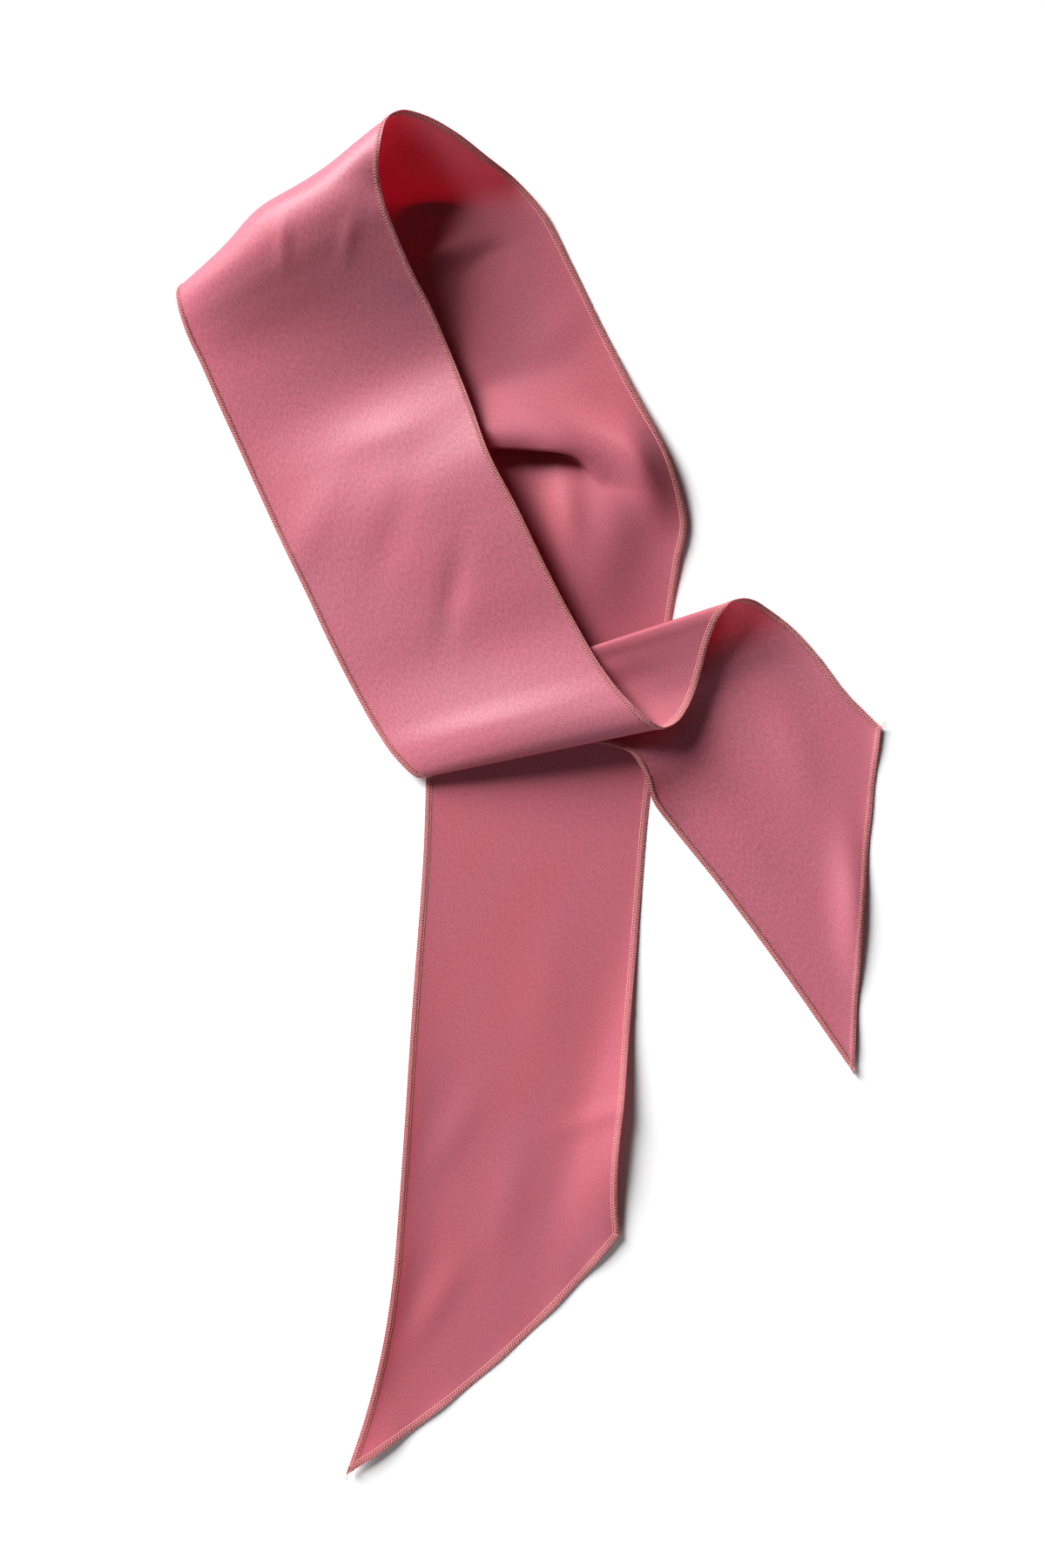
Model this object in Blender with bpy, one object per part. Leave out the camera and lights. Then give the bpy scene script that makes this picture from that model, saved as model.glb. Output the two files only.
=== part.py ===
# A narrow satin scarf with slanted ends, dropped on a table so that it lies in three open loops.
# The strip is one length of cloth, 100 mm wide. It is followed here from the point of its lower tail to the point
# of its right tail, and each stretch that shows is a solid of its own.

import math

import bpy
import numpy as np

MM = 0.001

# Driving sizes, in millimetres
WALL = 1.0            # thickness of the cloth as a solid
SEAM_GAP = 0.3        # space between one stretch and the next
REST_BLEND = 1.5      # how softly the cloth turns up from the table
RIPPLE_HEIGHT = 0.5   # waves that the thread pulls into the slanted ends
RIPPLE_LENGTH = 34.0
RIPPLE_PHASE = 0.8
RIPPLE_FADE = 9.0
TOUCH = 0.001         # a point lower than this lies on the table

# The pleat that takes up the long edge where the strip turns left on the table. "side" is 0 at the short edge and
# 1 at the long edge.
TUCK_REACH = 21.0             # how far the cloth goes back under the pleat
TUCK_LEAN = 1.22              # above 1, it is deepest nearer its last row
TUCK_HEADING = (-0.05, 1.0)   # direction along the strip
REACH_FROM = 0.36             # side where the cloth begins to go back under it
REACH_OVER = 0.22
CREST_HEIGHT = 12.7           # top of the pleat above the cloth round it
CREST_LEAN = 0.73             # below 1, the crest lies nearer its first row
CREST_OVER = 0.55             # side by which the crest has its full height
CREST_LOW_FROM = 0.7          # side from which it gets lower again, under the front stretch
CREST_LOW_SHARE = 0.35

# Each row is one straight line across the strip. The short edge and the long edge are the strip's two long sides.
# x and y are on the table, to the right and away from the viewer, and the height is that of the cloth above the
# place where it would lie flat. A height below zero is cloth that its own weight holds down on the table. "middle"
# is the height halfway across, and "bow" moves that halfway point to the left, seen from the long edge.
COLUMNS = ("short_x", "short_y", "short_height", "long_x", "long_y", "long_height", "middle", "bow")

LOWER_TAIL = (
    (41.0, -203.4, 2.5, -84.2, -312.6, 4.0, -1.0, -7.5),
    (39.8, -187.8, 5.0, -75.8, -287.8, 2.0, -2.0, -6.0),
    (40.2, -167.8, 7.5, -68.6, -259.8, 2.5, -3.0, -4.0),
    (43.0, -141.4, 7.0, -63.4, -228.6, 3.5, -3.5, -2.0),
    (45.4, -110.6, 3.5, -60.2, -192.6, 2.5, -3.0, -1.0),
    (48.6, -74.6, 1.0, -57.4, -152.6, 3.0, -3.0, 0.0),
    (51.8, -36.6, -1.0, -53.8, -96.6, 1.0, -3.0, 0.0),
    (54.2, -8.6, -2.0, -49.0, -30.6, -1.0, -3.0, 0.0),
)
BACK_STRETCH = (
    (57.4, 18.6, -2.0, -47.0, 14.6, -2.0, -3.0, 0.0),
    (61.0, 51.4, -2.0, -42.2, 47.4, -2.0, -3.0, 0.0),
    (65.2, 81.4, -1.0, -36.2, 77.4, -2.0, -3.0, 0.0),
    (68.6, 105.4, 1.5, -31.4, 107.4, -2.0, -2.0, 0.0),
    (71.4, 125.4, 2.5, -29.0, 138.6, -2.0, -1.0, 0.0),
    (63.8, 152.6, 3.5, -37.4, 157.4, -1.0, 0.0, 0.0),
    (45.4, 188.6, 2.5, -52.2, 168.2, -1.0, 0.0, 0.0),
    (30.6, 218.6, 0.0, -63.4, 181.4, -1.5, -1.5, 0.0),
    (18.6, 243.4, 0.0, -73.8, 198.6, -1.5, -1.0, 0.0),
    (7.0, 265.0, 1.5, -84.2, 212.2, -1.0, 0.0, 0.0),
    (-5.8, 279.4, 4.0, -100.2, 220.2, -1.0, 1.0, 0.0),
)
TOP_ROLL = (
    (-19.5, 287.4, 15.0, -117.0, 225.0, -1.0, 1.5, 0.0),
    (-33.8, 295.7, 25.0, -132.2, 227.8, 0.0, 3.5, 0.5),
    (-47.2, 300.9, 33.0, -144.2, 229.4, 1.0, 7.5, 1.5),
    (-57.3, 301.6, 39.0, -153.0, 230.2, 2.2, 14.5, 2.0),
    (-63.3, 296.7, 43.0, -159.0, 231.0, 3.8, 23.5, 2.0),
    (-66.2, 285.3, 45.0, -161.4, 229.0, 6.0, 30.0, 1.5),
    (-67.1, 273.4, 44.0, -161.0, 223.4, 8.0, 32.0, 0.5),
    (-64.6, 260.8, 40.0, -159.2, 216.2, 8.0, 28.5, 0.0),
    (-60.3, 249.9, 34.0, -156.2, 207.4, 6.0, 22.0, 0.0),
)
FRONT_STRETCH = (
    (-53.7, 235.3, 25.5, -150.6, 195.4, 4.0, 14.0, 0.0),
    (-44.8, 219.1, 16.0, -142.6, 177.0, 2.5, 8.0, 0.0),
    (-37.1, 201.7, 10.0, -134.6, 159.4, 1.5, 5.0, 0.0),
    (-27.1, 176.2, 14.5, -123.4, 134.6, 1.0, 9.0, 0.0),
    (-18.3, 151.8, 21.0, -113.0, 112.2, 1.0, 12.5, 0.0),
    (-5.7, 127.9, 20.5, -102.6, 90.6, 0.5, 11.5, 0.0),
    (8.1, 99.8, 17.0, -90.6, 65.0, 0.5, 9.0, 0.0),
    (21.2, 75.4, 14.0, -79.4, 43.4, 1.0, 7.5, 0.0),
    (32.1, 56.6, 16.5, -70.2, 27.4, 3.0, 11.0, 0.0),
)
BOTTOM_ROLL = (
    (40.6, 45.0, 20.0, -63.0, 17.0, 5.2, 15.0, 0.0),
    (48.0, 37.4, 22.0, -57.8, 11.4, 6.2, 16.5, 0.0),
    (54.3, 31.9, 21.0, -53.8, 7.8, 6.2, 15.5, 0.0),
    (60.7, 28.9, 17.5, -50.2, 6.2, 5.0, 12.5, 0.0),
    (66.5, 31.4, 14.5, -46.6, 7.8, 4.0, 10.0, 0.0),
    (71.6, 38.2, 12.0, -42.2, 12.6, 3.2, 8.0, 0.0),
    (75.4, 47.0, 10.5, -37.0, 19.4, 2.8, 6.5, 0.0),
)
MIDDLE_STRETCH = (
    (78.2, 57.0, 11.5, -29.8, 28.2, 3.5, 6.5, 0.0),
    (80.5, 66.1, 13.5, -22.6, 36.6, 4.5, 8.0, 0.0),
)
CROSS_ROLL = (
    (83.4, 74.7, 16.0, -15.8, 44.6, 5.5, 10.0, 0.0),
    (86.8, 81.2, 18.0, -10.6, 50.6, 6.5, 12.0, 0.0),
    (91.1, 85.8, 18.0, -6.6, 54.2, 6.8, 12.5, 0.0),
    (96.7, 87.5, 15.0, -3.4, 55.8, 6.0, 10.5, 0.0),
    (102.5, 86.7, 11.0, -0.2, 55.0, 4.8, 7.5, 0.0),
    (108.0, 83.8, 7.0, 3.0, 51.8, 3.8, 5.0, 0.0),
    (113.4, 80.4, 4.0, 7.0, 46.2, 3.2, 3.2, 0.0),
)
RIGHT_TAIL = (
    (118.6, 76.6, 2.0, 14.6, 34.6, 3.2, 2.2, 0.0),
    (123.4, 72.2, 1.0, 23.8, 23.4, 4.5, 1.6, 0.0),
    (128.2, 67.0, 0.5, 35.2, 21.6, 7.5, 0.0, 0.0),
    (133.0, 61.4, 0.0, 46.0, 17.4, 9.5, -1.0, 0.0),
    (137.8, 55.0, 0.0, 52.6, 6.8, 8.0, -1.5, 0.0),
    (142.2, 49.0, 0.0, 56.6, -5.0, 4.0, -1.5, 0.0),
    (146.6, 43.8, 0.0, 65.4, -16.6, 1.0, -1.5, 0.0),
    (151.4, 39.0, 0.0, 85.4, -41.4, 0.0, -2.0, 0.0),
    (156.2, 34.2, 0.5, 111.8, -76.6, 0.0, -2.0, 0.0),
    (160.9, 29.4, 1.5, 148.6, -129.4, 2.0, -1.0, 1.5),
)

MATTE_SIDE = (0.56, 0.16, 0.21)
SATIN_SIDE = (0.66, 0.20, 0.27)

# name, table, cells across, longest cell along, colour
STRETCHES = (
    ("lower_tail", LOWER_TAIL, 20, 10.0, MATTE_SIDE),
    ("back_stretch", BACK_STRETCH, 14, 9.0, MATTE_SIDE),
    ("top_roll", TOP_ROLL, 14, 5.5, SATIN_SIDE),
    ("front_stretch", FRONT_STRETCH, 14, 8.0, SATIN_SIDE),
    ("bottom_roll", BOTTOM_ROLL, 14, 5.0, SATIN_SIDE),
    ("middle_stretch", MIDDLE_STRETCH, 14, 6.0, MATTE_SIDE),
    ("cross_roll", CROSS_ROLL, 14, 4.5, MATTE_SIDE),
    ("right_tail", RIGHT_TAIL, 20, 8.0, SATIN_SIDE),
)

# Rows of the whole strip between which the cloth goes back under the tuck, and between which its crest rises
TUCK_ROWS = (len(LOWER_TAIL) + 3.6, len(LOWER_TAIL) + 5.0)
CREST_ROWS = (len(LOWER_TAIL) + 4.35, len(LOWER_TAIL) + 6.8)
TUCK_CELL = 3.2

# The largest soft creases: a ridge, or a trough where the height is below zero, with its middle on the table, its
# heading in degrees, half its length and half its width.
CREASE_COLUMNS = ("stretch", "x", "y", "heading", "half_length", "half_width", "height")
CREASES = (
    ("top_roll", -44.0, 268.5, -4, 28.0, 9.0, -7.0),
    ("top_roll", -34.0, 292.0, -30, 24.0, 8.0, 3.0),
    ("back_stretch", -38.0, 248.0, 20, 16.0, 6.5, 4.5),
    ("back_stretch", -20.0, 240.0, 50, 11.0, 6.0, -2.0),
    ("front_stretch", -60.0, 163.0, 12, 20.0, 9.0, 1.2),
    ("front_stretch", -35.0, 91.0, 78, 22.0, 6.0, -1.2),
    ("bottom_roll", -8.0, 34.0, 12, 44.0, 8.0, 1.0),
    ("back_stretch", 52.0, 148.0, -68, 22.0, 9.5, 8.5),
    ("back_stretch", 38.0, 162.0, -38, 20.0, 9.0, 4.5),
    ("back_stretch", 38.0, 130.0, -80, 26.0, 18.0, 6.5),
    ("back_stretch", 16.0, 131.0, -86, 22.0, 9.0, 4.5),
    ("back_stretch", 26.0, 102.0, -64, 26.0, 17.0, 5.0),
    ("back_stretch", -20.0, 60.0, -12, 20.0, 7.0, 1.8),
    ("middle_stretch", 20.0, 52.0, 18, 26.0, 7.0, 1.0),
    ("right_tail", 149.0, -56.0, -84, 30.0, 8.0, 4.5),
    ("right_tail", 122.0, 20.0, -70, 26.0, 10.0, 1.0),
)

# Swellings of the top loop's side. They are pushed sideways, because the cloth stands too steeply to be lifted.
SWELLINGS = (
    ("top_roll", -122.0, 262.0, 40, 17.0, 16.0, 3.6),
    ("top_roll", -92.0, 284.0, 40, 14.0, 14.0, -0.8),
)
SWELLING_HEADING = (-0.64, 0.77)
CREASE_FADE = 1.5             # rows beyond its own stretch in which a crease dies out


def all_rows():
    """Every row of the strip, from the lower tail's point to the right tail's, by the names of the columns."""
    return [dict(zip(COLUMNS, row)) for stretch in STRETCHES for row in stretch[1]]


def row_points(row):
    """The short edge, the halfway point and the long edge of a row, as x, y and free height."""
    short = np.array((row["short_x"], row["short_y"], row["short_height"]))
    far = np.array((row["long_x"], row["long_y"], row["long_height"]))
    middle = (short + far) / 2
    across = short[:2] - far[:2]
    left = np.array((-across[1], across[0])) / np.hypot(*across)
    middle[:2] += left * row["bow"]
    middle[2] = row["middle"]
    return np.array((short, middle, far))


def smooth(value):
    """0 below 0, 1 above 1, and a soft step between."""
    value = min(max(value, 0.0), 1.0)
    return value * value * (3 - 2 * value)


def fold_wave(number, rows, lean):
    """0 to 1 and back to 0 over a span of rows."""
    first, last = rows
    part = min(max((number - first) / (last - first), 0.0), 1.0)
    return math.sin(math.pi * part ** lean) ** 2


def row_span(name):
    """The first and the last row of a stretch, counted along the whole strip."""
    first = 0
    for stretch in STRETCHES:
        last = first + len(stretch[1]) - 1
        if stretch[0] == name:
            return first, last
        first = last + 1
    raise ValueError(name)


def crease_sum(creases, number, place):
    """The heights of all creases of a table at one place of the strip, added up."""
    total = 0.0
    for values in creases:
        crease = dict(zip(CREASE_COLUMNS, values))
        first, last = row_span(crease["stretch"])
        share = smooth(min(number - first + CREASE_FADE, last + CREASE_FADE - number) / CREASE_FADE)
        if share == 0.0:
            continue
        turn = math.radians(crease["heading"])
        x, y = place[0] - crease["x"], place[1] - crease["y"]
        along = (x * math.cos(turn) + y * math.sin(turn)) / crease["half_length"]
        aside = (y * math.cos(turn) - x * math.sin(turn)) / crease["half_width"]
        total += share * crease["height"] * math.exp(-along ** 2 - aside ** 2)
    return total


def above_table(height):
    """A free height as the height of a cloth that the table stops."""
    if height <= -REST_BLEND:
        return 0.0
    if height >= REST_BLEND:
        return height
    return (height + REST_BLEND) ** 2 / (4 * REST_BLEND)


class Strip:
    """The middle surface of the cloth, read at a row number along and at -1 (long edge) to 1 (short edge) across."""

    def __init__(self):
        self.rows = np.array([row_points(row) for row in all_rows()])
        steps = np.linalg.norm(np.diff(self.rows, axis=0), axis=2).mean(axis=1)
        self.along = np.concatenate(([0.0], np.cumsum(steps)))
        self.tangents = self.row_tangents()
        self.ends = (self.along[0], self.along[-1])

    def row_tangents(self):
        """The slope of the curve through each row, with the gaps to both neighbours weighed in."""
        rows, along = self.rows, self.along
        slopes = np.diff(rows, axis=0) / np.diff(along)[:, None, None]
        tangents = np.empty_like(rows)
        tangents[0] = slopes[0]
        tangents[-1] = slopes[-1]
        for i in range(1, len(rows) - 1):
            before = along[i] - along[i - 1]
            after = along[i + 1] - along[i]
            tangents[i] = (slopes[i - 1] * after + slopes[i] * before) / (before + after)
        return tangents

    def row_at(self, number):
        """Three points across the strip at a row number that may lie between two rows."""
        low = min(int(number), len(self.rows) - 2)
        part = number - low
        reach = self.along[low + 1] - self.along[low]
        start = (1 + 2 * part) * (1 - part) ** 2
        leave = part * (1 - part) ** 2
        arrive = part * part * (part - 1)
        end = part * part * (3 - 2 * part)
        curve = start * self.rows[low] + end * self.rows[low + 1]
        return curve + reach * (leave * self.tangents[low] + arrive * self.tangents[low + 1])

    def point(self, number, across):
        """A point of the cloth's middle surface, in millimetres."""
        short, middle, far = self.row_at(number)
        lean = (short - far) / 2
        arch = (short + far) / 2 - middle
        place = middle + lean * across + arch * across * across
        place[2] += self.ripple(number, across)
        place += self.tuck(number, across)
        place[2] = max(above_table(place[2]) + crease_sum(CREASES, number, place), 0.0) + WALL / 2
        place[:2] += np.array(SWELLING_HEADING) * crease_sum(SWELLINGS, number, place)
        return place

    def tuck(self, number, across):
        """The move of a point that lies in the tuck."""
        side = (1 - across) / 2
        reach = TUCK_REACH * smooth((side - REACH_FROM) / REACH_OVER) * fold_wave(number, TUCK_ROWS, TUCK_LEAN)
        low = 1 - CREST_LOW_SHARE * smooth((side - CREST_LOW_FROM) / (1 - CREST_LOW_FROM))
        height = CREST_HEIGHT * smooth(side / CREST_OVER) * low * fold_wave(number, CREST_ROWS, CREST_LEAN)
        return np.array((TUCK_HEADING[0] * reach, TUCK_HEADING[1] * reach, height))

    def ripple(self, number, across):
        """Waves along the two slanted ends, which die out within the cloth."""
        low = min(int(number), len(self.rows) - 2)
        here = self.along[low] + (number - low) * (self.along[low + 1] - self.along[low])
        away = min(here - self.ends[0], self.ends[1] - here)
        if away > 4 * RIPPLE_FADE:
            return 0.0
        end_row = self.rows[0] if here < self.ends[1] / 2 else self.rows[-1]
        end_length = np.hypot(*(end_row[0] - end_row[2])[:2])
        wave = math.sin(math.pi * across * end_length / RIPPLE_LENGTH + RIPPLE_PHASE)
        return RIPPLE_HEIGHT * (1 + wave) * math.exp(-away / RIPPLE_FADE)

    def row_numbers(self, first, last, cell):
        """Row numbers from one row to another, no further apart on the cloth than the cell."""
        numbers = [float(first)]
        for row in range(first, last):
            longest = cell
            if TUCK_ROWS[0] - 1 < row <= TUCK_ROWS[1]:
                longest = min(cell, TUCK_CELL)
            reach = np.linalg.norm(self.rows[row + 1] - self.rows[row], axis=1).max()
            count = max(1, math.ceil(reach / longest))
            numbers += [row + (i + 1) / count for i in range(count)]
        return numbers

    def trim(self, numbers, is_first, is_last):
        """The same row numbers with half the seam's gap taken off each end that meets another stretch."""
        half = SEAM_GAP / 2
        if not is_first:
            low = int(numbers[0])
            numbers[0] += half / (self.along[low + 1] - self.along[low])
        if not is_last:
            low = int(numbers[-1]) - 1
            numbers[-1] -= half / (self.along[low + 1] - self.along[low])
        return numbers


def wall_points(strip, numbers, cells):
    """The two faces of the cloth over a grid, each half a wall's thickness from its middle surface."""
    across = np.linspace(-1.0, 1.0, cells + 1)
    grid = np.array([[strip.point(number, side) for side in across] for number in numbers])
    along_slope = np.gradient(grid, axis=0)
    across_slope = np.gradient(grid, axis=1)
    normal = np.cross(across_slope, along_slope)
    normal /= np.linalg.norm(normal, axis=2)[:, :, None]
    outer = grid + normal * WALL / 2
    inner = grid - normal * WALL / 2
    for face in (outer, inner):
        face[:, :, 2] = np.where(face[:, :, 2] < TOUCH, 0.0, face[:, :, 2])
    return outer, inner


def wall_faces(rows, columns):
    """Quads of a closed wall: its two faces and the rim between them."""
    inner_start = rows * columns

    def outer(i, j):
        return i * columns + j

    def inner(i, j):
        return inner_start + i * columns + j

    faces = []
    for i in range(rows - 1):
        for j in range(columns - 1):
            faces.append((outer(i, j), outer(i, j + 1), outer(i + 1, j + 1), outer(i + 1, j)))
            faces.append((inner(i, j), inner(i + 1, j), inner(i + 1, j + 1), inner(i, j + 1)))
    for i in range(rows - 1):
        last = columns - 1
        faces.append((outer(i, 0), outer(i + 1, 0), inner(i + 1, 0), inner(i, 0)))
        faces.append((outer(i, last), inner(i, last), inner(i + 1, last), outer(i + 1, last)))
    for j in range(columns - 1):
        last = rows - 1
        faces.append((outer(0, j), inner(0, j), inner(0, j + 1), outer(0, j + 1)))
        faces.append((outer(last, j), outer(last, j + 1), inner(last, j + 1), inner(last, j)))
    return faces


def cloth_material(name, colour):
    material = bpy.data.materials.new(name)
    material.use_nodes = True
    shader = material.node_tree.nodes["Principled BSDF"]
    shader.inputs["Base Color"].default_value = (*colour, 1.0)
    shader.inputs["Roughness"].default_value = 0.45
    shader.inputs["Metallic"].default_value = 0.0
    return material


def centre_shift(walls):
    """The move that puts the middle of the whole scarf's footprint on the origin."""
    points = np.concatenate([face.reshape(-1, 3) for wall in walls for face in wall])
    middle = (points.min(axis=0) + points.max(axis=0)) / 2
    return np.array((-middle[0], -middle[1], 0.0))


def make_object(name, wall, shift, colour):
    outer, inner = wall
    rows, columns = outer.shape[:2]
    points = (np.concatenate((outer.reshape(-1, 3), inner.reshape(-1, 3))) + shift) * MM
    mesh = bpy.data.meshes.new(name)
    mesh.from_pydata(points.tolist(), [], wall_faces(rows, columns))
    mesh.update()
    mesh.shade_smooth()
    mesh.set_sharp_from_angle(angle=math.radians(50))
    mesh.materials.append(cloth_material(name + "_cloth", colour))
    bpy.context.scene.collection.objects.link(bpy.data.objects.new(name, mesh))


def build_scarf():
    strip = Strip()
    walls = []
    first = 0
    for index, (name, table, cells, cell, colour) in enumerate(STRETCHES):
        last = first + len(table) - (1 if index == 0 else 0)
        numbers = strip.row_numbers(first, last, cell)
        numbers = strip.trim(numbers, index == 0, index == len(STRETCHES) - 1)
        walls.append(wall_points(strip, numbers, cells))
        first = last
    shift = centre_shift(walls)
    for (name, table, cells, cell, colour), wall in zip(STRETCHES, walls):
        make_object(name, wall, shift, colour)


for leftover in list(bpy.data.objects):
    bpy.data.objects.remove(leftover, do_unlink=True)
build_scarf()
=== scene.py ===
# A narrow satin scarf with slanted ends, dropped on a pale table in three open loops.
import math

import bpy
import numpy as np
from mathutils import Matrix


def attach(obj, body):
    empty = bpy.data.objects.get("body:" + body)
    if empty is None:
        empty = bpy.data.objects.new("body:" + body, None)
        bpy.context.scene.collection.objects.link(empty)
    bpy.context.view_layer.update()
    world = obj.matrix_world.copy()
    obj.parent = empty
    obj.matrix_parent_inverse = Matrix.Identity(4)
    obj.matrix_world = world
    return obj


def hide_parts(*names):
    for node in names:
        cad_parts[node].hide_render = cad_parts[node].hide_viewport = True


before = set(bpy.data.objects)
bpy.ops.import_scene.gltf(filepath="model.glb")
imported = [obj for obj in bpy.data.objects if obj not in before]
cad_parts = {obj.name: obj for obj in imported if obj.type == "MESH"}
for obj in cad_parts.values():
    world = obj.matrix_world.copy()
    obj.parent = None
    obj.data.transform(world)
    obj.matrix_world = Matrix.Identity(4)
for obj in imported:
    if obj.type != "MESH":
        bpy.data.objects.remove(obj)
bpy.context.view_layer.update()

mm = 0.001

# The strip as straight lines across it, from the lower tail's point to the right tail's, in millimetres:
# short edge x, y, height, long edge x, y, height, height halfway across, bow of the halfway point.
# A height below zero is cloth that lies down on the table.
stretches = {
    "lowerTail": [
        (41.0, -203.4, 2.5, -84.2, -312.6, 4.0, -1.0, -7.5),
        (39.8, -187.8, 5.0, -75.8, -287.8, 2.0, -2.0, -6.0),
        (40.2, -167.8, 7.5, -68.6, -259.8, 2.5, -3.0, -4.0),
        (43.0, -141.4, 7.0, -63.4, -228.6, 3.5, -3.5, -2.0),
        (45.4, -110.6, 3.5, -60.2, -192.6, 2.5, -3.0, -1.0),
        (48.6, -74.6, 1.0, -57.4, -152.6, 3.0, -3.0, 0.0),
        (51.8, -36.6, -1.0, -53.8, -96.6, 1.0, -3.0, 0.0),
        (54.2, -8.6, -2.0, -49.0, -30.6, -1.0, -3.0, 0.0),
    ],
    "backStretch": [
        (57.4, 18.6, -2.0, -47.0, 14.6, -2.0, -3.0, 0.0),
        (61.0, 51.4, -2.0, -42.2, 47.4, -2.0, -3.0, 0.0),
        (65.2, 81.4, -1.0, -36.2, 77.4, -2.0, -3.0, 0.0),
        (68.6, 105.4, 1.5, -31.4, 107.4, -2.0, -2.0, 0.0),
        (71.4, 125.4, 2.5, -29.0, 138.6, -2.0, -1.0, 0.0),
        (63.8, 152.6, 3.5, -37.4, 157.4, -1.0, 0.0, 0.0),
        (45.4, 188.6, 2.5, -52.2, 168.2, -1.0, 0.0, 0.0),
        (30.6, 218.6, 0.0, -63.4, 181.4, -1.5, -1.5, 0.0),
        (18.6, 243.4, 0.0, -73.8, 198.6, -1.5, -1.0, 0.0),
        (7.0, 265.0, 1.5, -84.2, 212.2, -1.0, 0.0, 0.0),
        (-5.8, 279.4, 4.0, -100.2, 220.2, -1.0, 1.0, 0.0),
    ],
    "topRoll": [
        (-19.5, 287.4, 15.0, -117.0, 225.0, -1.0, 1.5, 0.0),
        (-33.8, 295.7, 25.0, -132.2, 227.8, 0.0, 3.5, 0.5),
        (-47.2, 300.9, 33.0, -144.2, 229.4, 1.0, 7.5, 1.5),
        (-57.3, 301.6, 39.0, -153.0, 230.2, 2.2, 14.5, 2.0),
        (-63.3, 296.7, 43.0, -159.0, 231.0, 3.8, 23.5, 2.0),
        (-66.2, 285.3, 45.0, -161.4, 229.0, 6.0, 30.0, 1.5),
        (-67.1, 273.4, 44.0, -161.0, 223.4, 8.0, 32.0, 0.5),
        (-64.6, 260.8, 40.0, -159.2, 216.2, 8.0, 28.5, 0.0),
        (-60.3, 249.9, 34.0, -156.2, 207.4, 6.0, 22.0, 0.0),
    ],
    "frontStretch": [
        (-53.7, 235.3, 25.5, -150.6, 195.4, 4.0, 14.0, 0.0),
        (-44.8, 219.1, 16.0, -142.6, 177.0, 2.5, 8.0, 0.0),
        (-37.1, 201.7, 10.0, -134.6, 159.4, 1.5, 5.0, 0.0),
        (-27.1, 176.2, 14.5, -123.4, 134.6, 1.0, 9.0, 0.0),
        (-18.3, 151.8, 21.0, -113.0, 112.2, 1.0, 12.5, 0.0),
        (-5.7, 127.9, 20.5, -102.6, 90.6, 0.5, 11.5, 0.0),
        (8.1, 99.8, 17.0, -90.6, 65.0, 0.5, 9.0, 0.0),
        (21.2, 75.4, 14.0, -79.4, 43.4, 1.0, 7.5, 0.0),
        (32.1, 56.6, 16.5, -70.2, 27.4, 3.0, 11.0, 0.0),
    ],
    "bottomRoll": [
        (40.6, 45.0, 20.0, -63.0, 17.0, 5.2, 15.0, 0.0),
        (48.0, 37.4, 22.0, -57.8, 11.4, 6.2, 16.5, 0.0),
        (54.3, 31.9, 21.0, -53.8, 7.8, 6.2, 15.5, 0.0),
        (60.7, 28.9, 17.5, -50.2, 6.2, 5.0, 12.5, 0.0),
        (66.5, 31.4, 14.5, -46.6, 7.8, 4.0, 10.0, 0.0),
        (71.6, 38.2, 12.0, -42.2, 12.6, 3.2, 8.0, 0.0),
        (75.4, 47.0, 10.5, -37.0, 19.4, 2.8, 6.5, 0.0),
    ],
    "middleStretch": [
        (78.2, 57.0, 11.5, -29.8, 28.2, 3.5, 6.5, 0.0),
        (80.5, 66.1, 13.5, -22.6, 36.6, 4.5, 8.0, 0.0),
    ],
    "crossRoll": [
        (83.4, 74.7, 16.0, -15.8, 44.6, 5.5, 10.0, 0.0),
        (86.8, 81.2, 18.0, -10.6, 50.6, 6.5, 12.0, 0.0),
        (91.1, 85.8, 18.0, -6.6, 54.2, 6.8, 12.5, 0.0),
        (96.7, 87.5, 15.0, -3.4, 55.8, 6.0, 10.5, 0.0),
        (102.5, 86.7, 11.0, -0.2, 55.0, 4.8, 7.5, 0.0),
        (108.0, 83.8, 7.0, 3.0, 51.8, 3.8, 5.0, 0.0),
        (113.4, 80.4, 4.0, 7.0, 46.2, 3.2, 3.2, 0.0),
    ],
    "rightTail": [
        (118.6, 76.6, 2.0, 14.6, 34.6, 3.2, 2.2, 0.0),
        (123.4, 72.2, 1.0, 23.8, 23.4, 4.5, 1.6, 0.0),
        (128.2, 67.0, 0.5, 35.2, 21.6, 7.5, 0.0, 0.0),
        (133.0, 61.4, 0.0, 46.0, 17.4, 9.5, -1.0, 0.0),
        (137.8, 55.0, 0.0, 52.6, 6.8, 8.0, -1.5, 0.0),
        (142.2, 49.0, 0.0, 56.6, -5.0, 4.0, -1.5, 0.0),
        (146.6, 43.8, 0.0, 65.4, -16.6, 1.0, -1.5, 0.0),
        (151.4, 39.0, 0.0, 85.4, -41.4, 0.0, -2.0, 0.0),
        (156.2, 34.2, 0.5, 111.8, -76.6, 0.0, -2.0, 0.0),
        (160.9, 29.4, 1.5, 148.6, -129.4, 2.0, -1.0, 1.5),
    ],
}

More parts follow.
